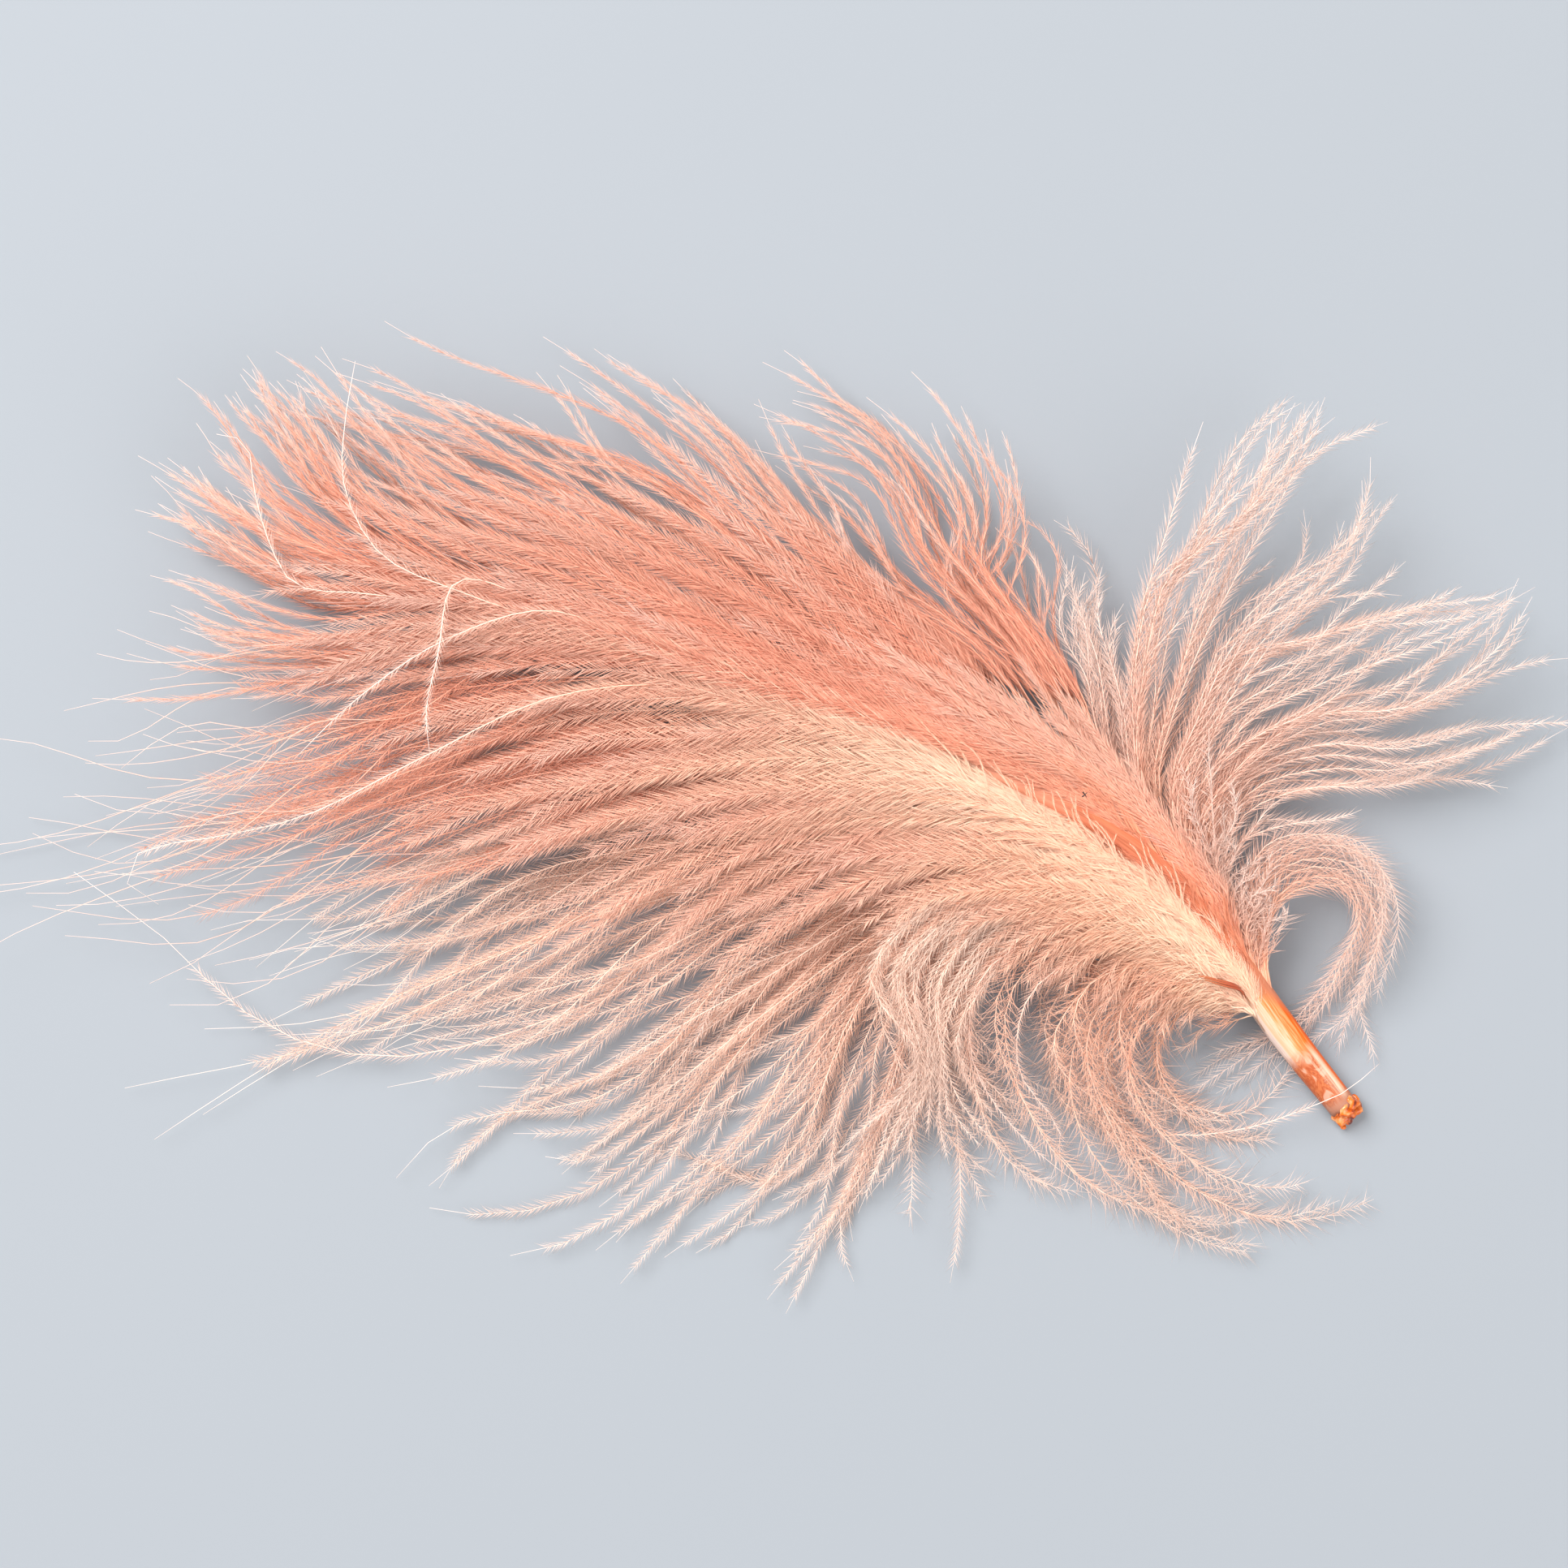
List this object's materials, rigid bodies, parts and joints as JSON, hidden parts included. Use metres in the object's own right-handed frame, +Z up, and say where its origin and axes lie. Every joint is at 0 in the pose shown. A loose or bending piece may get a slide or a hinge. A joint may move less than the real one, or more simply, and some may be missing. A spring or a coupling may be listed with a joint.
{
  "type": "marabou feather",
  "caption": "Fluffy marabou plume lying flat: cut quill, arched thin shaft and soft curling barbs in tapered locks.",
  "frame": {"origin": "centre of the plume's outline on the plane it rests on", "axes": "+X along the plume's long side towards the cut quill, +Y across it towards the raised tuft, +Z up out of the surface it lies on"},
  "size_m": [0.1012, 0.0623, 0.0096],
  "materials": {
    "down": "soft dyed down with no shine",
    "quill": "smooth horny keratin, dyed orange, with a low sheen"
  },
  "bodies": {
    "root": {"feather": "down"}
  },
  "joints": []
}
